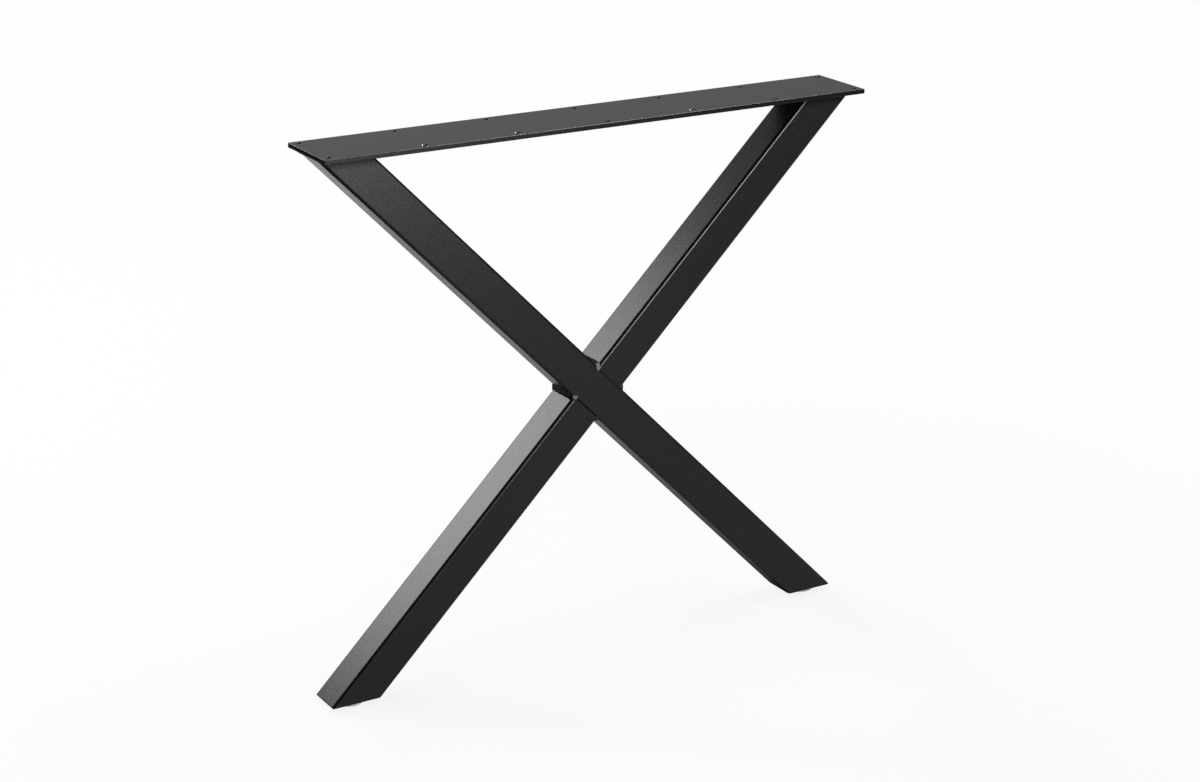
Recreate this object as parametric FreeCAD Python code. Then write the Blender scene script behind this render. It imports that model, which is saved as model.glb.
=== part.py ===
import FreeCAD, Part
import math
import os

# X shaped table leg: two square tubes cross under a flat top plate and stand on two floor glides.
# Frame: millimetres, origin on the floor midway between the feet, +X along the plate,
# +Y through the leg's depth, +Z up.

V = FreeCAD.Vector
LEFT = -1
RIGHT = 1

# Overall size
overall_height = 720.0        # floor to the top face of the plate

# Top plate, a flat bar with two rows of screw holes
plate_length = 780.0
plate_width = 100.0
plate_thickness = 6.0
plate_edge_round = 0.6        # broken edge all round the bar
hole_columns = 7
hole_diameter = 6.0
hole_end_margin = 10.0        # end of the plate to the centre of the first hole
hole_side_margin = 10.0       # long edge of the plate to the centres of a row
hole_edge_break = 0.4         # chamfer at the upper mouth of a hole

# Square tube
tube_width = 50.0
tube_wall = 2.0
tube_inner_radius = 2.0
tube_end_margin = 2.0         # end of the plate to the outer corner of the tube under it
foot_end_margin = 2.0         # the same at the floor: end of the plate to the outer corner of a foot, in plan

# Plates let into the tubes' lower ends
foot_plate_thickness = 4.0
foot_tip_grind = 2.0          # how far the sharp outer tip of a foot is ground back, square to the floor

# Welds
crossing_weld_leg = 5.5       # fillets in the four notches of the crossing
crossing_weld_crown = 0.5     # bulge of such a fillet over its flat chord
crossing_weld_dip = 0.3       # how far the ground seam lies below the tubes' front and back faces
plate_weld_leg = 4.0          # fillet between a tube and the underside of the plate

# Floor glides, moulded discs with a snap-in stem
glide_diameter = 38.0
glide_height = 6.5
glide_floor_chamfer = 1.2
glide_stem_diameter = 9.8
glide_stem_clearance = 0.1    # radial room of the stem in its hole
glide_stem_play = 0.1         # room between the foot plate and the snap rim above it
glide_snap_overhang = 0.5     # how far the snap rim stands out over the stem
glide_tip_diameter = 7.0
glide_tip_length = 4.0

# Levels
plate_underside = overall_height - plate_thickness
foot_underside = glide_height
tube_rise = plate_underside - foot_underside

# The tubes lean so that their outer corners reach the wanted spans at the top and at the feet.
# A level cut through a leaning tube is tube_width / sin(lean) long, so the lean follows from
# mean_span * sin(lean) - tube_rise * cos(lean) = tube_width.
top_span = plate_length - 2 * tube_end_margin
foot_span = plate_length - 2 * foot_end_margin
mean_span = (top_span + foot_span) / 2
lean = math.atan2(tube_rise, mean_span) + math.asin(tube_width / math.hypot(mean_span, tube_rise))
cut_length = tube_width / math.sin(lean)
top_centre = (top_span - cut_length) / 2
foot_centre = (foot_span - cut_length) / 2
crossing = V(0, 0, plate_underside - top_centre * math.tan(lean))

# Tube section
half_tube = tube_width / 2
tube_bore = tube_width - 2 * tube_wall
tube_outer_radius = tube_inner_radius + tube_wall
bar_reach = tube_rise / math.sin(lean) + cut_length    # longer than any tube, to be cut to length
room_depth = 2 * tube_width    # depth of the spaces that the tubes are cut to


def leaning(shape, side):
    """Turns a shape from lying along X to a tube's lean, falling to that side, through the crossing."""
    shape.rotate(V(0, 0, 0), V(0, 1, 0), side * math.degrees(lean))
    shape.translate(crossing)
    return shape


def square_bar(width, radius, side):
    """Long bar with rounded long edges, leaning, before its ends are cut."""
    bar = Part.makeBox(2 * bar_reach, width, width, V(-bar_reach, -width / 2, -width / 2))
    long_edges = [edge for edge in bar.Edges if edge.Length > bar_reach]
    return leaning(bar.makeFillet(radius, long_edges), side)


def level_slice(shape, height):
    """Keeps that height of a leaning bar, measured up from the level cut at its foot."""
    room = Part.makeBox(2 * bar_reach, room_depth, height, V(-bar_reach, -room_depth / 2, foot_underside))
    return shape.common(room)


def square_tube(side):
    """Tube cut level at both ends, with the sharp outer tip of its foot ground back."""
    bar = square_bar(tube_width, tube_outer_radius, side)
    tube = level_slice(bar.cut(square_bar(tube_bore, tube_inner_radius, side)), tube_rise)
    face = foot_span / 2 - foot_tip_grind
    low = face if side == RIGHT else -face - tube_width
    return tube.cut(Part.makeBox(tube_width, room_depth, tube_width, V(low, -room_depth / 2, foot_underside)))


def beyond_through_tube(shape, side):
    """Keeps what lies beyond the through tube: over it for RIGHT, under it for LEFT."""
    low = half_tube if side == RIGHT else -half_tube - bar_reach
    room = Part.makeBox(2 * bar_reach, room_depth, bar_reach, V(-bar_reach, -room_depth / 2, low))
    return shape.common(leaning(room, RIGHT))


def clipped_outline(x_low, x_high, half_depth, clip, height):
    """Level rectangle with clipped corners."""
    corners = [
        V(x_low + clip, -half_depth, height),
        V(x_high - clip, -half_depth, height),
        V(x_high, clip - half_depth, height),
        V(x_high, half_depth - clip, height),
        V(x_high - clip, half_depth, height),
        V(x_low + clip, half_depth, height),
        V(x_low, half_depth - clip, height),
        V(x_low, clip - half_depth, height),
    ]
    return Part.makePolygon(corners + corners[:1])


def hole_cutter(x, y):
    """Drill with a small chamfer at the top face of the plate."""
    radius = hole_diameter / 2
    drill = Part.makeCylinder(radius, plate_thickness, V(x, y, plate_underside))
    mouth = V(x, y, overall_height - hole_edge_break)
    return drill.fuse(Part.makeCone(radius, radius + hole_edge_break, hole_edge_break, mouth))


def top_plate():
    corner = V(-plate_length / 2, -plate_width / 2, plate_underside)
    plate = Part.makeBox(plate_length, plate_width, plate_thickness, corner)
    plate = plate.makeFillet(plate_edge_round, plate.Edges)
    first = plate_length / 2 - hole_end_margin
    pitch = 2 * first / (hole_columns - 1)
    row = plate_width / 2 - hole_side_margin
    for column in range(hole_columns):
        for y in (-row, row):
            plate = plate.cut(hole_cutter(-first + column * pitch, y))
    return plate


def foot_plate(side):
    """Let into the tube's lower end, flush with the cut, with a hole for the glide's stem."""
    plate = level_slice(square_bar(tube_bore, tube_inner_radius, side), foot_plate_thickness)
    hole_radius = glide_stem_diameter / 2 + glide_stem_clearance
    hole = Part.makeCylinder(hole_radius, foot_plate_thickness, V(side * foot_centre, 0, foot_underside))
    return plate.cut(hole)


def crossing_weld(half_tube_solid, through_solid):
    """Ring of weld round the upper half tube's end, drawn in the through tube's own frame.

    Fillets fill the two notches. Between them, at the front and the back, the weld fills the groove
    over the through tube's round corner and is ground almost flush.
    """
    meeting = 2 * lean
    along = V(math.cos(meeting), 0, math.sin(meeting))
    middle = half_tube / math.tan(meeting)
    half_foot = half_tube / math.sin(meeting)
    depth = half_tube - crossing_weld_dip

    def notch(sign):
        corner = V(middle + sign * half_foot, -depth, half_tube)
        toe = corner + V(sign * crossing_weld_leg, 0, 0)
        head = corner + along * crossing_weld_leg
        chord = toe - head
        out = V(-chord.z, 0, chord.x).normalize() * sign
        crown = (toe + head) / 2 + out * crossing_weld_crown
        root = corner - V(0, 0, tube_outer_radius)
        return toe, crown, head, root

    left_toe, left_crown, left_head, left_root = notch(LEFT)
    right_toe, right_crown, right_head, right_root = notch(RIGHT)
    outline = Part.Wire([
        Part.Arc(left_toe, left_crown, left_head).toShape(),
        Part.makeLine(left_head, right_head),
        Part.Arc(right_head, right_crown, right_toe).toShape(),
        Part.makeLine(right_toe, right_root),
        Part.makeLine(right_root, left_root),
        Part.makeLine(left_root, left_toe),
    ])
    ring = leaning(Part.Face(outline).extrude(V(0, 2 * depth, 0)), RIGHT)
    return ring.cut([half_tube_solid, through_solid])


def plate_weld(side, bar):
    """Collar of weld under the plate, wide at the plate and running out on the tube's faces."""
    fall = plate_weld_leg / math.tan(lean)
    outer_leg = min(plate_weld_leg, tube_end_margin - plate_edge_round)
    outer = top_span / 2
    inner = outer - cut_length
    at_plate = sorted([side * (outer + outer_leg), side * (inner - plate_weld_leg)])
    on_tube = sorted([side * (outer - fall), side * (inner - fall)])
    corner_clip = (2 - math.sqrt(2)) * tube_outer_radius
    top = clipped_outline(*at_plate, half_tube + plate_weld_leg, plate_weld_leg, plate_underside)
    low = clipped_outline(*on_tube, half_tube, corner_clip, plate_underside - plate_weld_leg)
    return Part.makeLoft([low, top], True, True).cut(bar)


def floor_glide(side):
    """Moulded disc, turned about its own axis, with a stem that snaps into the foot plate."""
    disc = glide_diameter / 2
    stem = glide_stem_diameter / 2
    snap = stem + glide_snap_overhang
    tip = glide_tip_diameter / 2
    snap_low = glide_height + foot_plate_thickness + glide_stem_play
    tip_height = snap_low + glide_tip_length
    corners = [
        (0, 0),
        (disc - glide_floor_chamfer, 0),
        (disc, glide_floor_chamfer),
        (disc, glide_height),
        (stem, glide_height),
        (stem, snap_low),
        (snap, snap_low),
        (tip, tip_height),
        (0, tip_height),
        (0, 0),
    ]
    profile = Part.makePolygon([V(x, 0, z) for x, z in corners])
    glide = Part.Face(profile).revolve(V(0, 0, 0), V(0, 0, 1), 360)
    glide.translate(V(side * foot_centre, 0, 0))
    return glide


def build():
    through_bar = square_bar(tube_width, tube_outer_radius, RIGHT)
    cross_bar = square_bar(tube_width, tube_outer_radius, LEFT)
    cross_tube = square_tube(LEFT)
    upper_weld = crossing_weld(beyond_through_tube(cross_bar, RIGHT), through_bar)
    lower_weld = upper_weld.copy()
    lower_weld.rotate(crossing, V(0, 1, 0), 180)
    return {
        "top_plate": top_plate(),
        "through_tube": square_tube(RIGHT),
        "upper_cross_tube": beyond_through_tube(cross_tube, RIGHT),
        "lower_cross_tube": beyond_through_tube(cross_tube, LEFT),
        "upper_crossing_weld": upper_weld,
        "lower_crossing_weld": lower_weld,
        "left_plate_weld": plate_weld(LEFT, through_bar),
        "right_plate_weld": plate_weld(RIGHT, cross_bar),
        "left_foot_plate": foot_plate(LEFT),
        "right_foot_plate": foot_plate(RIGHT),
        "left_floor_glide": floor_glide(LEFT),
        "right_floor_glide": floor_glide(RIGHT),
    }


os.makedirs("parts", exist_ok=True)
for node, shape in build().items():
    shape.exportStep("parts/" + node + ".step")
    box = shape.optimalBoundingBox()
    print(f"{node}: {len(shape.Solids)} solid, valid {shape.isValid()}, {shape.Volume / 1000:.2f} cm3, "
          f"{box.XLength:.2f} x {box.YLength:.2f} x {box.ZLength:.2f} mm, from height {box.ZMin:.2f}")
print(f"lean {math.degrees(lean):.3f} degrees, crossing at {crossing.z:.2f}, level cut {cut_length:.2f}")
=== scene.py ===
# %% [markdown]
# # An X shaped table leg in black powder coat
# The leg is a welded frame: two square steel tubes cross under a drilled flat bar, and two pale glides keep
# the steel off the floor. The exact solids come in as a fixed frame, in metres, so that each new piece can
# be placed by plain sizes. Plate, tubes and foot plates only get finishes here. The plain welds and glides
# are replaced by rippled beads and softly moulded discs.

# %% Load the frame
import math

import bmesh
import bpy
from mathutils import Matrix, Quaternion, Vector, noise


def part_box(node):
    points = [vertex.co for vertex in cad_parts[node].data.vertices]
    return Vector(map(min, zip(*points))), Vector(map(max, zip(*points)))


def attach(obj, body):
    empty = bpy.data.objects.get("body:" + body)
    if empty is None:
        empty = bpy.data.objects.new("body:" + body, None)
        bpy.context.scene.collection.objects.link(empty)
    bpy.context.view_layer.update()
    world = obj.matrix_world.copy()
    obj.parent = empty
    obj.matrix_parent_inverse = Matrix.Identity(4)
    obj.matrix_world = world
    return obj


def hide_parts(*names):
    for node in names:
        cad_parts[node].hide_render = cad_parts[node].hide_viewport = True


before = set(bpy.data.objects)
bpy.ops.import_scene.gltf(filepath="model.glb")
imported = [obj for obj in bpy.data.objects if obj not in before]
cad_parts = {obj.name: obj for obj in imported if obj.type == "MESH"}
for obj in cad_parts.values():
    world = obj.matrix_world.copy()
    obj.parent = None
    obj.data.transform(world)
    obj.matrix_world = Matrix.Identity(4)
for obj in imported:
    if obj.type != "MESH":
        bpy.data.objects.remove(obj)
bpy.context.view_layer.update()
mm = 0.001
print("nodes:", ", ".join(sorted(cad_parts)))

# %% [markdown]
# ## Two small helpers for materials
# A paint chart gives sRGB values, as a screen shows them, and a shader wants linear light, so one function
# turns hex colours to linear. A second one adds a node, sets it up and links it, which keeps a material
# readable as a list of steps. A Mix node has sockets for several kinds of value, so those for colours get
# names.

# %% Colours and nodes
mix_share, mix_first, mix_second, mix_result = 0, 6, 7, 2


def linear(hex_colour):
    """Linear RGBA of an sRGB colour written as #rrggbb."""
    channels = [int(hex_colour[i:i + 2], 16) / 255 for i in (1, 3, 5)]
    return tuple(c / 12.92 if c <= 0.04045 else ((c + 0.055) / 1.055) ** 2.4 for c in channels) + (1.0,)


def add(tree, kind, inputs, **settings):
    """Adds a node with its settings. An input is a value, or an output of another node to link."""
    node = tree.nodes.new(kind)
    for name, value in settings.items():
        setattr(node, name, value)
    for socket, value in inputs.items():
        if isinstance(value, bpy.types.NodeSocket):
            tree.links.new(value, node.inputs[socket])
        else:
            node.inputs[socket].default_value = value
    return node


print("mid grey #808080 in linear light:", round(linear("#808080")[0], 4))

# %% [markdown]
# ## Black powder coat
# Powder is sprayed on dry and melts into a skin about 0.1 mm thick. It flows into an even satin surface
# that keeps a fine pebbled grain, so a face looks deep black where it mirrors a dark room and mid grey
# where it mirrors a lamp, with a faint sparkle. Two noises make that: a fine one for the pebbles, in
# colour, bump and roughness, and a broad one for the slight clouds in a hand-sprayed coat. Real pebbles are
# about 0.4 mm wide, less than a pixel here, so they are drawn 2.4 mm wide to show, and very low, so that a
# face still looks smooth. A pebbled grain also swallows part of the mirror image, hence a lower specular
# level than on smooth paint.

# %% The coat
coat_gloss, pebble_width, cloud_width = 0.18, 2.4 * mm, 60 * mm


def powder_coat(name, deep, pale, smoothest, roughest, pebble_height):
    """Satin powder coat. Its colour runs from deep to pale and its roughness from smoothest to roughest."""
    material = bpy.data.materials.new(name)
    material.use_nodes = True
    tree = material.node_tree
    shader = tree.nodes["Principled BSDF"]
    place = add(tree, "ShaderNodeTexCoord", {}).outputs["Object"]
    pebbles = add(tree, "ShaderNodeTexNoise", {"Vector": place, "Scale": 1 / pebble_width, "Detail": 2.0,
                                               "Roughness": 0.6}).outputs["Fac"]
    clouds = add(tree, "ShaderNodeTexNoise", {"Vector": place, "Scale": 1 / cloud_width,
                                              "Detail": 3.0}).outputs["Fac"]
    tops = add(tree, "ShaderNodeMapRange", {"Value": pebbles, "From Min": 0.42, "From Max": 0.72})
    shade = add(tree, "ShaderNodeMath", {0: tops.outputs["Result"], 1: clouds}, operation="MULTIPLY")
    colour = add(tree, "ShaderNodeMix", {mix_share: shade.outputs["Value"], mix_first: linear(deep),
                                         mix_second: linear(pale)}, data_type="RGBA")
    rough = add(tree, "ShaderNodeMapRange", {"Value": pebbles, "From Min": 0.3, "From Max": 0.7,
                                             "To Min": smoothest, "To Max": roughest})
    bump = add(tree, "ShaderNodeBump", {"Height": pebbles, "Distance": pebble_height, "Strength": 0.6})
    tree.links.new(colour.outputs[mix_result], shader.inputs["Base Color"])
    tree.links.new(rough.outputs["Result"], shader.inputs["Roughness"])
    tree.links.new(bump.outputs["Normal"], shader.inputs["Normal"])
    shader.inputs["IOR"].default_value = 1.5
    shader.inputs["Specular IOR Level"].default_value = coat_gloss
    return material


coat = powder_coat("satin_black_powder_coat", "#060a09", "#121715", 0.25, 0.29, 0.008 * mm)
print("coat:", coat.name, "with", len(coat.node_tree.nodes), "nodes")

# %% [markdown]
# ## Coat on the flat bar, with painted shade on its edges
# A flat bar's broad faces are rolled smooth. Its ends and long edges are drawn darker than its top as
# painted shade: they mirror less. The coat is copied, and its specular level follows how far a face looks
# up.

# %% The coat on the plate
shaded_edge_gloss, edge_turn, top_turn = 0.1, 0.3, 0.8
shaded_edge_coat = coat.copy()
shaded_edge_coat.name = "powder_coat_with_painted_shade_on_edges"
tree = shaded_edge_coat.node_tree
facing = add(tree, "ShaderNodeTexCoord", {}).outputs["Normal"]
level = add(tree, "ShaderNodeSeparateXYZ", {"Vector": facing}).outputs["Z"]
# Painted shade: the specular level falls from the plate's top to its edges.
gloss = add(tree, "ShaderNodeMapRange", {"Value": level, "From Min": edge_turn, "From Max": top_turn,
                                         "To Min": shaded_edge_gloss, "To Max": coat_gloss}).outputs["Result"]
tree.links.new(gloss, tree.nodes["Principled BSDF"].inputs["Specular IOR Level"])
print("coat on the plate:", shaded_edge_coat.name)

# %% [markdown]
# ## Painted shade in the corners under the plate
# The plate stands out 25 mm over the fronts and backs of the tubes and shades them just under it. That
# shade is painted: the coat is copied again, and on faces that look to the front or the back its specular
# level falls towards the plate, so a tube looks darker just under the plate.

# %% The coat under the plate
plate_low, plate_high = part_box("top_plate")
shade_from, shade_to = plate_low.z - 17 * mm, plate_low.z - 7 * mm
shaded_gloss, corner_turn, front_turn = 0.06, 0.6, 0.95
shaded_corner_coat = coat.copy()
shaded_corner_coat.name = "powder_coat_with_painted_shade_under_plate"
tree = shaded_corner_coat.node_tree
surface = add(tree, "ShaderNodeTexCoord", {}).outputs
height = add(tree, "ShaderNodeSeparateXYZ", {"Vector": surface["Object"]}).outputs["Z"]
facing = add(tree, "ShaderNodeSeparateXYZ", {"Vector": surface["Normal"]}).outputs["Y"]
facing = add(tree, "ShaderNodeMath", {0: facing}, operation="ABSOLUTE").outputs["Value"]
flat = add(tree, "ShaderNodeMapRange", {"Value": facing, "From Min": corner_turn, "From Max": front_turn})
inner = add(tree, "ShaderNodeMapRange", {"Value": height, "From Min": shade_from, "From Max": shade_to})
painted_shade = add(tree, "ShaderNodeMath", {0: flat.outputs["Result"], 1: inner.outputs["Result"]},
           operation="MULTIPLY").outputs["Value"]
# Painted shade: on front and back faces the specular level drops towards the plate.
gloss = add(tree, "ShaderNodeMapRange", {"Value": painted_shade, "To Min": coat_gloss, "To Max": shaded_gloss})
tree.links.new(gloss.outputs["Result"], tree.nodes["Principled BSDF"].inputs["Specular IOR Level"])
print("coat under the plate:", shaded_corner_coat.name, "dull from", round(shade_from / mm), "mm up")

# %% [markdown]
# ## Coat over weld metal
# On a weld the molten powder runs together in the valleys between the ripples, so it is deeper black and a
# little glossier there, and the rough metal below makes its grain bolder. The same recipe with other values
# does it.

# %% The coat on the welds
weld_coat = powder_coat("powder_coat_over_weld", "#060707", "#101111", 0.22, 0.28, 0.02 * mm)
print("coat on welds:", weld_coat.name)

# %% [markdown]
# ## Moulded polyethylene
# The glides are injection moulded in off-white polyethylene, a waxy plastic that lets a little light in.
# The eye sees a soft, matt, warm white with no sharp reflections, and dust from the floor greys its lowest
# edge. A little subsurface gives the wax, a noise the matt mould texture, and the height over the floor
# mixes in the dust. The mould's spark texture is about 0.2 mm, and it is drawn 0.8 mm wide to show.

# %% The glides' plastic
spark_width, spark_height, dust_height, wax_depth = 0.8 * mm, 0.03 * mm, 2.5 * mm, 1 * mm
plastic = bpy.data.materials.new("moulded_polyethylene")
plastic.use_nodes = True
tree = plastic.node_tree
shader = tree.nodes["Principled BSDF"]
place = add(tree, "ShaderNodeTexCoord", {}).outputs["Object"]
height = add(tree, "ShaderNodeSeparateXYZ", {"Vector": place}).outputs["Z"]
spark = add(tree, "ShaderNodeTexNoise", {"Vector": place, "Scale": 1 / spark_width,
                                         "Detail": 2.0}).outputs["Fac"]
clean = add(tree, "ShaderNodeMapRange", {"Value": height, "From Min": 0.0, "From Max": dust_height})
tone = add(tree, "ShaderNodeMath", {0: clean.outputs["Result"], 1: spark}, operation="ADD", use_clamp=True)
colour = add(tree, "ShaderNodeMix", {mix_share: tone.outputs["Value"], mix_first: linear("#c9c2bb"),
                                     mix_second: linear("#f2ece6")}, data_type="RGBA")
matt = add(tree, "ShaderNodeMapRange", {"Value": spark, "To Min": 0.45, "To Max": 0.65})
bump = add(tree, "ShaderNodeBump", {"Height": spark, "Distance": spark_height, "Strength": 0.5})
tree.links.new(colour.outputs[mix_result], shader.inputs["Base Color"])
tree.links.new(matt.outputs["Result"], shader.inputs["Roughness"])
tree.links.new(bump.outputs["Normal"], shader.inputs["Normal"])
shader.inputs["IOR"].default_value = 1.51
shader.inputs["Subsurface Weight"].default_value = 0.15
shader.inputs["Subsurface Radius"].default_value = (1.0, 0.95, 0.9)
shader.inputs["Subsurface Scale"].default_value = wax_depth
print("plastic:", plastic.name)

# %% [markdown]
# ## Dress the solids
# Plate, tubes and foot plates already have their true shapes, with rounded corners and drilled holes, so
# they stay as they are. The plate and the two tubes under it take their own versions of the coat, which
# carry painted shade, and the rest takes the plain one.

# %% Finishes on the solids
finishes = {"top_plate": shaded_edge_coat, "through_tube": shaded_corner_coat, "upper_cross_tube": shaded_corner_coat,
            "left_floor_glide": plastic, "right_floor_glide": plastic}
for node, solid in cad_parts.items():
    finish = finishes.get(node, coat)
    solid.data.materials.clear()
    solid.data.materials.append(finish)
    print(node, "->", finish.name)

# %% [markdown]
# ## A skin over rings of points
# Beads, hole rims and glides are all one kind of shape: a closed section that is carried along a line and
# changes as it goes. A curve with a bevel could do the plain ones, but not ripples, so one function joins a
# row of rings into a closed mesh. Pieces in several lengths are joined in one object. A second function
# gives the slow wander of a hand-held torch, from Blender's own noise, where each seed is another line
# through it.

# %% Rings to a mesh
seed_step_y, seed_step_z = 7.3, 1.9


def skin(name, runs, material):
    """Object made of runs. A run is a list of rings of equal size, closed round or capped at its ends."""
    points, faces = [], []
    for rings, closed in runs:
        start, size = len(points), len(rings[0])
        for ring in rings:
            points.extend(ring)
        for k in range(len(rings) if closed else len(rings) - 1):
            low = start + k * size
            high = start + (k + 1) % len(rings) * size
            for i in range(size):
                j = (i + 1) % size
                faces.append((low + i, low + j, high + j, high + i))
        if not closed:
            faces.append(tuple(reversed(range(start, start + size))))
            faces.append(tuple(range(len(points) - size, len(points))))
    mesh = bpy.data.meshes.new(name)
    mesh.from_pydata(points, [], faces)
    mesh.materials.append(material)
    shell = bmesh.new()
    shell.from_mesh(mesh)
    bmesh.ops.recalc_face_normals(shell, faces=shell.faces)
    shell.to_mesh(mesh)
    shell.free()
    mesh.polygons.foreach_set("use_smooth", [len(face.vertices) == 4 for face in mesh.polygons])
    mesh.update()
    piece = bpy.data.objects.new(name, mesh)
    bpy.context.scene.collection.objects.link(piece)
    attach(piece, "root")
    print(name, "has", len(mesh.polygons), "faces")
    return piece


def waver(place, period, seed):
    """Smooth wander from about -1 to 1 along a line, different for each seed."""
    return 2 * noise.noise(Vector((place / period, seed_step_y * seed, seed_step_z * seed)))


print("a wander at every half period:", [round(waver(0.5 * k, 1.0, 1), 2) for k in range(6)])

# %% [markdown]
# ## Where the tubes cross
# One tube runs through and the other is two halves welded against it. Their lean follows from the box of
# the through tube: its outer corners are one span apart, and a tube of this width leans between them.
# Points near the crossing are easiest in the through tube's own directions, along it, out of its upper
# face, and in depth.

# %% The crossing's directions
tube, corner_radius = 50 * mm, 4 * mm
half = tube / 2
tube_low, tube_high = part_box("through_tube")
span, rise = -2 * tube_low.x, tube_high.z - tube_low.z
lean = math.atan2(rise, span) + math.asin(tube / math.hypot(span, rise))
half_span = (span - tube / math.sin(lean)) / 2
crossing = Vector((0, 0, tube_high.z - half_span * math.tan(lean)))
along = Vector((math.cos(lean), 0, -math.sin(lean)))
upward = Vector((math.sin(lean), 0, math.cos(lean)))


def crossing_point(u, n, y, turn):
    """Point given along the tube, out of its upper face and in depth. turn is -1 for the lower half tube."""
    return crossing + turn * (u * along + n * upward) + Vector((0, y, 0))


print("lean", round(math.degrees(lean), 2), "degrees, crossing at", round(crossing.z / mm, 1), "mm")

# %% [markdown]
# ## Rippled beads in the notches
# Each half tube is welded all round its end. In the notches the welder left the bead as it froze, a row of
# overlapping ripples 2.4 mm apart. A texture would not change the outline in the notches, so the ripples
# are built: a fillet's section is carried through the notch, bulging at each ripple and wandering a little
# in width. Where the front was ground, two of the beads end in a small flat, tilted up and to the left,
# that catches a lamp as a grey speck.

# %% Notch beads
bead_leg, bead_crown, bead_root, face_gap = 5.8 * mm, 0.15 * mm, 1.5 * mm, 0.25 * mm
ripple_height, ripple_pitch, ripple_bow, ripple_drift = 0.25 * mm, 2.4 * mm, 1.1 * mm, 0.35
leg_wander, leg_at_end, back_fade, slant = 0.09, 0.35, 0.8 * mm, 0.707
facet_slope_x, facet_slope_z, facet_power = -0.127, 0.167, 4


def notch_bead(side, turn, front_fade, facet, seed):
    """Fillet through one notch, front to back, with ripples. A facet of 1 has its front end ground flat."""
    rings = []
    steps, arc_steps = 200, 12
    reach = half - face_gap
    for k in range(steps + 1):
        y = -reach + 2 * reach * k / steps
        near_end = (reach - abs(y)) / (front_fade if y < 0 else back_fade)
        ending = math.sqrt(1 - (1 - near_end) ** 2) if near_end < 1 else 1.0
        leg = bead_leg * (1 + leg_wander * waver(y, 9 * mm, seed)) * (leg_at_end + (1 - leg_at_end) * ending)
        round_off = max(0.0, abs(y) - half + corner_radius)
        sink = bead_root + corner_radius - math.sqrt(corner_radius ** 2 - round_off ** 2)
        ring = []
        for i in range(arc_steps + 1):
            t = i / arc_steps
            bow = math.sin(math.pi * t)
            phase = (y + ripple_bow * bow) / ripple_pitch + ripple_drift * waver(y, 6 * mm, seed + 9)
            ripple = ripple_height * (abs(math.sin(math.pi * phase)) - 0.5)
            out = (bead_crown * bow + ripple * bow ** 0.5) * ending
            ring.append((half + leg * (1 - t) + slant * out, half + leg * t + slant * out))
        ring.append((half - sink, half + leg))
        ring.append((half - sink, half - sink))
        ring.append((half + leg, half - sink))
        ring = [crossing_point(side * u, n, y, turn) for u, n in ring]
        root = crossing_point(side * half, half, y, turn)
        tilt = facet * max(0.0, -y / reach) ** facet_power
        for point in ring:
            point.y += tilt * (facet_slope_x * (point.x - root.x) + facet_slope_z * (point.z - root.z))
        rings.append(ring)
    return rings, False


print("beads with legs of", round(bead_leg / mm, 1), "mm, a ripple every", round(ripple_pitch / mm, 1), "mm")

# %% [markdown]
# ## Ground seams at the front and the back
# Between the notches the weld was ground down before coating. Beside the upper half tube that left a
# shallow groove. Beside the lower one the metal is flush, but a fine crack stayed open along the half
# tube's end and draws a dark line. Both are one strip across the joint whose depth changes, sunk a little
# into the tubes. Bump can't cast the crack's shadow, so it is real depth.

# %% Ground seams
groove_depth, groove_width, groove_at_edge, groove_drop = 0.6 * mm, 4.6 * mm, 0.3, 0.1 * mm
crack_depth, crack_width, crack_gap, flush_drop = 1.7 * mm, 1.7 * mm, 0.1 * mm, 0.05 * mm
seam_overrun, seam_overlap, seam_root, seam_inset = 1 * mm, 0.4 * mm, 3.5 * mm, 1.5 * mm
seam_wander = 0.35


def ground_seam(face, turn, cracked, seed):
    """Weld between the flat faces at the front or the back, ground to a groove, or flush beside a crack."""
    rings = []
    steps, across = 60, 24
    for k in range(steps + 1):
        u = (half + seam_overrun) * (2 * k / steps - 1)
        wander = 1 + seam_wander * waver(u, 7 * mm, seed)
        ring = []
        for i in range(across + 1):
            t = i / across
            n = half + seam_overlap - groove_width * (1 - t)
            groove = groove_depth * (groove_at_edge + (1 - groove_at_edge) * math.sin(math.pi * t)) * wander
            crack = crack_depth * min(1.0, max(0.0, 1 - (half - crack_gap - n) / crack_width)) * wander
            ring.append((n, half - (crack + flush_drop if cracked else groove + groove_drop)))
        ring.append((half + seam_overlap, half - seam_root))
        ring.append((half - seam_inset, half - seam_root))
        rings.append([crossing_point(u, n, face * y, turn) for n, y in ring])
    return rings, False


ground_flat, as_frozen = 0.85, 0.0
for name, turn, cracked, first_notch, second_notch in (
        ("upper_crossing", 1, False, (4.2 * mm, ground_flat), (3 * mm, as_frozen)),
        ("lower_crossing", -1, True, (9 * mm, as_frozen), (4.8 * mm, ground_flat))):
    runs = [notch_bead(-1, turn, *first_notch, 3 + turn), notch_bead(1, turn, *second_notch, 13 + turn),
            ground_seam(-1, turn, cracked, 23 + turn), ground_seam(1, turn, cracked, 33 + turn)]
    bead = skin(name + "_bead", runs, weld_coat)
    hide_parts(name + "_weld")

# %% [markdown]
# ## Beads under the plate
# Each tube is welded all round to the underside of the plate. Seen from below it is the same rippled
# fillet, bent round the tube's four corners. Here the section follows the outline of the tube's level cut:
# it leaves the plate a leg away from the tube and runs out a leg down the tube's leaning face.

# %% Plate beads
plate_leg, plate_root, plate_rim = 4 * mm, 1.2 * mm, 0.6 * mm
plate_crown, plate_ripple, plate_pitch, plate_bow = 0.4 * mm, 0.3 * mm, 2.4 * mm, 1.0 * mm
plate_wander, plate_drift = 0.08, 0.3


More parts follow.
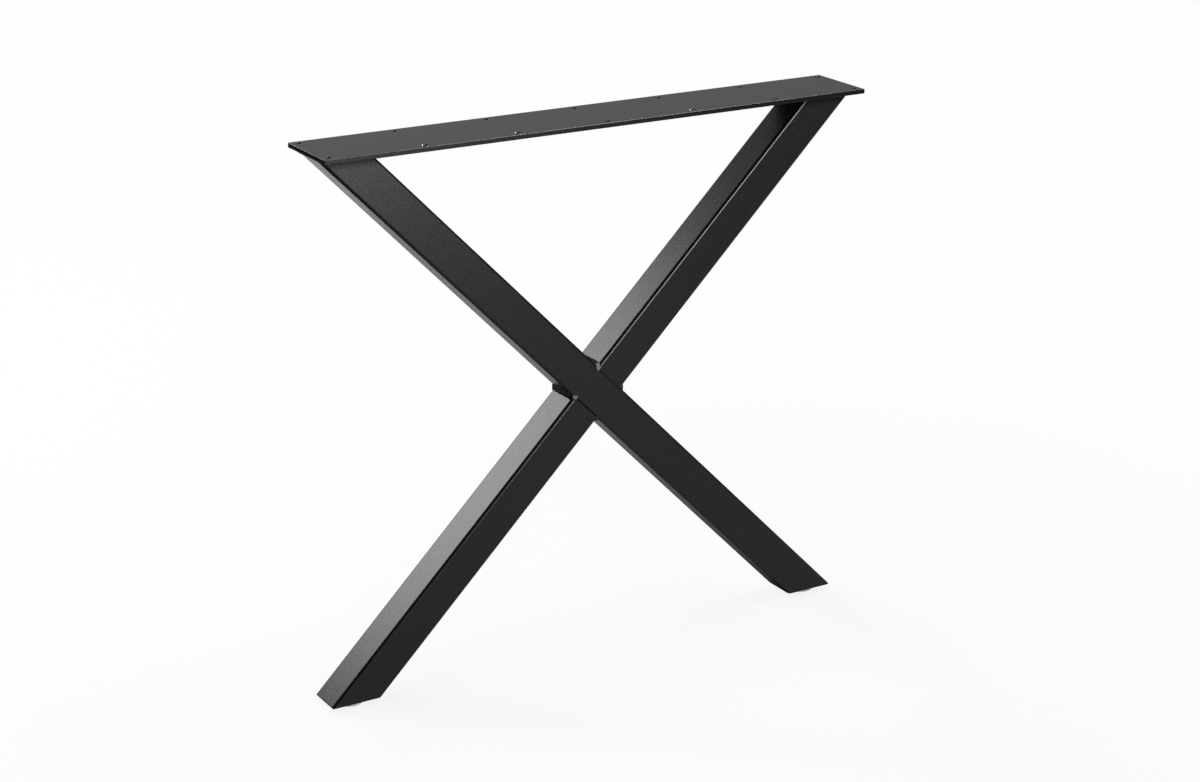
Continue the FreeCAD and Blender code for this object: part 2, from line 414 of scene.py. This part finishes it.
def cut_outline(side):
    """Points and outward directions round the level cut of a tube, walked at even steps."""
    steps, corner_steps = 640, 24
    stretch = 1 / math.sin(lean)
    half_cut = half / math.sin(lean)
    dense = []
    for turn, (sx, sy) in enumerate([(1, 1), (-1, 1), (-1, -1), (1, -1)]):
        centre = (sx * (half_cut - corner_radius * stretch), sy * (half - corner_radius))
        for i in range(corner_steps + 1):
            angle = (turn + i / corner_steps) * math.pi / 2
            dense.append(Vector((centre[0] + corner_radius * stretch * math.cos(angle),
                                 centre[1] + corner_radius * math.sin(angle), 0)))
    dense.append(dense[0].copy())
    lengths = [(b - a).length for a, b in zip(dense, dense[1:])]
    total, walked, place, found = sum(lengths), 0.0, 0, []
    for k in range(steps):
        target = total * k / steps
        while walked + lengths[place] < target:
            walked += lengths[place]
            place += 1
        point = dense[place].lerp(dense[place + 1], (target - walked) / lengths[place])
        run = dense[place + 1] - dense[place]
        out = Vector((run.y, -run.x, 0)).normalized()
        found.append((point + Vector((side * half_span, 0, 0)), out, target))
    return found


def plate_bead(side, seed):
    """Rippled fillet round a tube's top end, in the corner under the plate, kept in from the plate's end."""
    down = Vector((-side * math.cos(lean), 0, -math.sin(lean))) * (plate_leg / math.sin(lean))
    rings = []
    arc_steps = 8
    for point, out, place in cut_outline(side):
        wide = plate_leg * (1 + plate_wander * waver(place, 11 * mm, seed))
        room = plate_high.x - plate_rim - abs(point.x)
        if out.x * side > 0.05:
            wide = min(wide, room / (out.x * side))
        root = Vector((point.x, point.y, tube_high.z))
        ring = []
        for i in range(arc_steps + 1):
            t = i / arc_steps
            bow = math.sin(math.pi * t)
            phase = (place + plate_bow * bow) / plate_pitch + plate_drift * waver(place, 8 * mm, seed + 5)
            ripple = plate_ripple * (abs(math.sin(math.pi * phase)) - 0.5)
            swell = (plate_crown + ripple) * bow * wide / plate_leg
            ring.append(root + out * (wide * (1 - t) + swell) + down * t - Vector((0, 0, swell)))
        ring.append(root - out * plate_root + down)
        ring.append(root - out * plate_root)
        rings.append(ring)
    return rings, True


for name, side in (("left_plate", -1), ("right_plate", 1)):
    bead = skin(name + "_bead", [plate_bead(side, 43 + side)], weld_coat)
    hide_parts(name + "_weld")

# %% [markdown]
# ## Lips round the screw holes
# Molten powder draws back from a sharp edge and piles up in a low lip just outside it. Round most
# holes that lip is about 0.2 mm high, and at three of them it is a fat drop. Bump could hint at it, but a
# real ring also shows at a low angle. The lip is higher on one side, where the spray came from.

# %% Hole lips
hole_radius, hole_columns, hole_margin = 3 * mm, 7, 10 * mm
lip_gap, lip_width, lip_sink, lip_lowest = 0.35 * mm, 1.3 * mm, 0.02 * mm, 0.35
root_depth, root_inner, root_outer = 0.3 * mm, 0.5 * mm, 1.5 * mm
thin_lift, fat_lift, fat_columns = 0.22 * mm, 0.8 * mm, (1, 2, 4)
first = plate_high.x - hole_margin
pitch = 2 * first / (hole_columns - 1)
row = plate_high.y - hole_margin


def hole_lip(x, y, lift, spray):
    """Low ring of coat round a hole, highest towards the spray angle."""
    rings = []
    round_steps, arc_steps = 48, 8
    for k in range(round_steps):
        angle = 2 * math.pi * k / round_steps
        away = Vector((math.cos(angle), math.sin(angle), 0))
        crest = lift * (lip_lowest + (1 - lip_lowest) * max(0.0, math.cos(angle - spray)) ** 2)
        ring = []
        for i in range(arc_steps + 1):
            t = i / arc_steps
            radius = hole_radius + lip_gap + lip_width * t
            z = plate_high.z + crest * math.sin(math.pi * t) ** 1.5 - lip_sink
            ring.append(Vector((x, y, z)) + away * radius)
        ring.append(Vector((x, y, plate_high.z - root_depth)) + away * (hole_radius + root_outer))
        ring.append(Vector((x, y, plate_high.z - root_depth)) + away * (hole_radius + root_inner))
        rings.append(ring)
    return rings, True


lips, fat_holes = [], []
for column in range(hole_columns):
    for y in (-row, row):
        x = -first + column * pitch
        fat = y < 0 and column in fat_columns
        if fat:
            fat_holes.append(x)
        spray = math.pi + 0.5 * waver(column, 1.7, 3 if y < 0 else 5)
        lips.append(hole_lip(x, y, fat_lift if fat else thin_lift, spray))
print(len(lips), "lips,", len(fat_holes), "of them fat")

# %% [markdown]
# ## Bare flecks on the fat lips
# A fat lip stands proud of the plate and is the first thing to be rubbed, so a spot of bare steel shines on
# its left. Paint and metal are one surface there, so the spot is a value on the mesh's points that turns
# the coat's colour and its metallic level to steel.

# %% Bare steel
fleck_radius, fleck_gap = 1.4 * mm, 0.8 * mm
rim_coat = coat.copy()
rim_coat.name = "powder_coat_at_hole_rims"
tree = rim_coat.node_tree
shader = tree.nodes["Principled BSDF"]
bare = add(tree, "ShaderNodeAttribute", {}, attribute_name="bare_steel").outputs["Fac"]
painted = shader.inputs["Base Color"].links[0].from_socket
steel = add(tree, "ShaderNodeMix", {mix_share: bare, mix_first: painted, mix_second: linear("#c8c8c4")},
            data_type="RGBA")
tree.links.new(steel.outputs[mix_result], shader.inputs["Base Color"])
tree.links.new(bare, shader.inputs["Metallic"])

rims = skin("screw_hole_rims", lips, rim_coat)
flecks = [Vector((x - hole_radius - fleck_gap, -row, plate_high.z)) for x in fat_holes]
rubbed = rims.data.attributes.new("bare_steel", "FLOAT", "POINT")
for i, vertex in enumerate(rims.data.vertices):
    rubbed.data[i].value = any((vertex.co - fleck).length < fleck_radius for fleck in flecks)
print("points of bare steel:", sum(point.value > 0 for point in rubbed.data))

# %% [markdown]
# ## Floor glides
# A glide is a moulded disc with a stem that snaps into the foot plate. A mould needs round edges, and those
# soft edges are what separates plastic from turned metal, so the section is drawn with quarter circles at
# the rim and spun round the stem's axis.

# %% Glides
rim_round, top_round, stem_radius, tip_radius, soft_edge = 1.8 * mm, 0.7 * mm, 4.9 * mm, 3.5 * mm, 0.4 * mm
stem_step, snap_low, snap_full, snap_end, snap_out = 0.2 * mm, 4.1 * mm, 4.3 * mm, 4.7 * mm, 0.45 * mm


def glide_section(disc, seat, top):
    """Radius and height pairs of a glide from under its middle out, over the rim and up the stem."""
    rim_steps, top_steps = 8, 6
    section = [(disc * 0.3, 0.0), (disc * 0.6, 0.0)]
    for i in range(rim_steps + 1):
        a = -math.pi / 2 + i / rim_steps * math.pi / 2
        section.append((disc - rim_round + rim_round * math.cos(a), rim_round + rim_round * math.sin(a)))
    for i in range(top_steps + 1):
        a = i / top_steps * math.pi / 2
        section.append((disc - top_round + top_round * math.cos(a),
                        seat - top_round + top_round * math.sin(a)))
    section += [(stem_radius + soft_edge, seat), (stem_radius, seat + stem_step)]
    section += [(stem_radius, seat + snap_low), (stem_radius + snap_out, seat + snap_full)]
    section += [(stem_radius + soft_edge, seat + snap_end), (tip_radius, top - soft_edge)]
    section += [(tip_radius - soft_edge, top)]
    return section


spin_steps = 96
around = [2 * math.pi * k / spin_steps for k in range(spin_steps)]
for name in ("left_floor_glide", "right_floor_glide"):
    glide_low, glide_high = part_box(name)
    centre = (glide_low + glide_high) / 2
    disc = (glide_high.x - glide_low.x) / 2
    rings = []
    for radius, z in glide_section(disc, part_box("left_foot_plate")[0].z, glide_high.z):
        rings.append([Vector((centre.x + radius * math.cos(a), centre.y + radius * math.sin(a), z))
                      for a in around])
    glide = skin(name.replace("floor", "moulded"), [(rings, False)], plastic)
    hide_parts(name)

# %% [markdown]
# ## Floor
# A wide sheet of white paper under the leg. Paper lit from one side greys off with distance, so for the
# camera, and for mirror images of it in the coat, most of its own light is plain white. The rest stays true
# paper, which carries the soft shadow that tells the eye the feet touch it.

# %% Paper floor
near_leg, far_out, white_near, white_far, half_floor = 0.5, 1.6, 0.86, 0.98, 100.0
paper = bpy.data.materials.new("white_paper")
paper.use_nodes = True
tree = paper.node_tree
shader = tree.nodes["Principled BSDF"]
shader.inputs["Base Color"].default_value = linear("#f4f4f3")
shader.inputs["Roughness"].default_value = 0.9
shader.inputs["Specular IOR Level"].default_value = 0.1
rays = add(tree, "ShaderNodeLightPath", {}).outputs
seen = add(tree, "ShaderNodeMath", {0: rays["Is Camera Ray"], 1: rays["Is Glossy Ray"]}, operation="MAXIMUM")
seen = add(tree, "ShaderNodeMath", {0: seen.outputs["Value"], 1: rays["Is Transmission Ray"]},
           operation="MAXIMUM")
place = add(tree, "ShaderNodeTexCoord", {}).outputs["Object"]
away = add(tree, "ShaderNodeVectorMath", {0: place}, operation="LENGTH").outputs["Value"]
whiter = add(tree, "ShaderNodeMapRange", {"Value": away, "From Min": near_leg, "From Max": far_out,
                                          "To Min": white_near, "To Max": white_far},
             interpolation_type="SMOOTHSTEP").outputs["Result"]
share = add(tree, "ShaderNodeMath", {0: seen.outputs["Value"], 1: whiter}, operation="MULTIPLY")
white = add(tree, "ShaderNodeEmission", {"Color": linear("#ffffff"), "Strength": 1.0})
blend = add(tree, "ShaderNodeMixShader", {0: share.outputs["Value"], 1: shader.outputs["BSDF"],
                                          2: white.outputs["Emission"]})
tree.links.new(blend.outputs["Shader"], tree.nodes["Material Output"].inputs["Surface"])


def flat_sheet(name, low, high, z, material):
    """Level rectangle from its low to its high corner, part of the stage and not of the leg."""
    corners = [(low[0], low[1]), (high[0], low[1]), (high[0], high[1]), (low[0], high[1])]
    mesh = bpy.data.meshes.new(name)
    mesh.from_pydata([(x, y, z) for x, y in corners], [], [(0, 1, 2, 3)])
    mesh.materials.append(material)
    sheet = bpy.data.objects.new(name, mesh)
    bpy.context.scene.collection.objects.link(sheet)
    print(name, "from", low, "to", high)
    return sheet


flat_sheet("paper_floor", (-half_floor, -half_floor), (half_floor, half_floor), 0, paper)

# %% [markdown]
# ## Lamps
# Black satin is drawn by what it mirrors. A soft box behind and to the left is what the upper left faces
# mirror, so they go mid grey. A turned strip in front draws the thin bright lines on the round corners and
# lifts the top of the through tube's front, and a strip overhead draws the light line along the plate's
# front edge. Both strips show in mirror images only, so the floor stays even. A fill lamp in front does the
# reverse: it lights the glides and the floor but is never mirrored. A wide lamp overhead lights the paper.

# %% Lamps
def soft_lamp(name, place, aim, width, length, roll, radiance):
    """Soft box, turned by roll about its own axis. Its power is its radiance times its area times pi."""
    lamp = bpy.data.lights.new(name, "AREA")
    lamp.shape = "RECTANGLE"
    lamp.size, lamp.size_y = width, length
    lamp.energy = radiance * width * length * math.pi
    box = bpy.data.objects.new(name, lamp)
    box.location = place
    box.rotation_mode = "QUATERNION"
    turned = Quaternion((0, 0, 1), math.radians(roll))
    box.rotation_quaternion = (Vector(aim) - Vector(place)).to_track_quat("-Z", "Y") @ turned
    box.visible_camera = False
    bpy.context.scene.collection.objects.link(box)
    print(name, "of", width, "x", length, "m, power", round(lamp.energy, 1), "W")
    return box


soft_lamp("soft_box_behind_left", place=(-1.25, 2.45, 1.66), aim=(-0.15, 0, 0.22), width=1.08, length=1.08,
          roll=0, radiance=12.0)
strip = soft_lamp("front_strip_lamp", place=(0.85, -2.78, 0.90), aim=(0.19, 0.02, 0.63), width=0.8,
                  length=1.45, roll=-45, radiance=53.0)
strip.visible_diffuse = False
fill = soft_lamp("front_fill_lamp", place=(-1.3, -2.3, 0.9), aim=(0, 0, 0.1), width=1.2, length=1.2,
                 roll=0, radiance=4.0)
fill.visible_glossy = False
edge = soft_lamp("overhead_strip_lamp", place=(1.25, -0.25, 2.8), aim=(0.05, 0, 0.72), width=2.0, length=0.8,
                 roll=0, radiance=40.0)
edge.visible_diffuse = False
soft_lamp("overhead_lamp", place=(0.3, 0.1, 2.8), aim=(0, 0.1, 0), width=1.3, length=1.3,
          roll=0, radiance=6.3)

# %% [markdown]
# ## Cards on the floor
# A photographer lays cards beside a shiny product to choose what its faces mirror. These show in mirror
# images alone, so the paper stays white to the camera. The black one keeps the faces that look to the left
# dark, such as the plate's end. The grey one behind is darkest near the leg, as a painted shadow of the leg
# on the floor. It gets paler with its depth and shades the underside of the through tube. The pale one in
# front takes a little white off the upper half tube's front.

# %% Mirror cards
shade_near, shade_far, card_lift = 0.05, 0.75, 1 * mm


def mirror_card(name, low, high, tone, far_tone=None):
    """Felt card that shows only in mirror images. With a second tone its colour changes with the depth."""
    felt = bpy.data.materials.new(name + "_felt")
    felt.use_nodes = True
    tree = felt.node_tree
    shader = tree.nodes["Principled BSDF"]
    shader.inputs["Base Color"].default_value = linear(tone)
    shader.inputs["Roughness"].default_value = 1.0
    if far_tone:
        place = add(tree, "ShaderNodeTexCoord", {}).outputs["Object"]
        depth = add(tree, "ShaderNodeSeparateXYZ", {"Vector": place}).outputs["Y"]
        away = add(tree, "ShaderNodeMapRange", {"Value": depth, "From Min": shade_near,
                                                "From Max": shade_far})
        colour = add(tree, "ShaderNodeMix", {mix_share: away.outputs["Result"], mix_first: linear(tone),
                                             mix_second: linear(far_tone)}, data_type="RGBA")
        tree.links.new(colour.outputs[mix_result], shader.inputs["Base Color"])
    card = flat_sheet(name, low, high, card_lift, felt)
    card.visible_camera = card.visible_diffuse = card.visible_shadow = False


mirror_card("black_card_left", (-4.0, -0.5), (-0.42, 4.0), "#0a0a0a")
# Its dark near end is a painted shadow of the leg on the floor, seen only in mirror images.
mirror_card("grey_card_behind", (-0.42, -0.03), (0.75, 1.3), "#545454", "#c6c6c6")
mirror_card("pale_card_in_front", (0.85, -4.0), (4.0, -0.6), "#f4f4f3")

# %% [markdown]
# ## Room
# The rest of what the coat mirrors is the room: dim in front, and bright at the wall behind and a little to
# the left. The plate's top mirrors that wall at a low angle, which makes it mid grey. One gradient is
# enough, because a satin face blurs all detail.

# %% Room
bright_wall, dim_below, bright_above = (-0.35, 0.94, 0.0), 0.07, 0.87
world = bpy.data.worlds.new("studio_room")
bpy.context.scene.world = world
world.use_nodes = True
tree = world.node_tree
place = add(tree, "ShaderNodeTexCoord", {}).outputs["Generated"]
towards = add(tree, "ShaderNodeVectorMath", {0: place, 1: bright_wall}, operation="DOT_PRODUCT")
back = add(tree, "ShaderNodeMapRange", {"Value": towards.outputs["Value"], "From Min": dim_below,
                                        "From Max": bright_above})
tone = add(tree, "ShaderNodeMix", {mix_share: back.outputs["Result"], mix_first: linear("#606060"),
                                   mix_second: linear("#d4d4d4")}, data_type="RGBA")
tree.links.new(tone.outputs[mix_result], tree.nodes["Background"].inputs["Color"])
bpy.context.scene.view_settings.view_transform = "Standard"
print("room:", world.name, "under view transform", bpy.context.scene.view_settings.view_transform)

# %% [markdown]
# ## Camera
# The lens and the place follow from the plate's edges, the holes and the tubes' edges in the picture,
# solved together: a long lens 3.2 m away, 32 degrees to the left and 19 degrees up, turned by less than a
# degree.

# %% Camera
image_width, focal_pixels = 1200, 2508.417
azimuth, elevation, roll = math.radians(-31.968), math.radians(19.373), math.radians(0.660)
distance, across, above, aim_height = 3.243452, -0.015678, 0.004864, 0.36

backward = Vector((math.sin(azimuth) * math.cos(elevation), -math.cos(azimuth) * math.cos(elevation),
                   math.sin(elevation)))
level = Vector((math.cos(azimuth), math.sin(azimuth), 0))
upright = backward.cross(level)
right = math.cos(roll) * level + math.sin(roll) * upright
up = math.cos(roll) * upright - math.sin(roll) * level
lens = bpy.data.cameras.new("long_lens")
lens.lens = focal_pixels * lens.sensor_width / image_width
camera = bpy.data.objects.new("camera", lens)
camera.matrix_world = Matrix((right, up, backward)).transposed().to_4x4()
camera.location = Vector((0, 0, aim_height)) + backward * distance - right * across - up * above
bpy.context.scene.collection.objects.link(camera)
bpy.context.scene.camera = camera
print("lens", round(lens.lens, 2), "mm at", [round(c, 3) for c in camera.location])
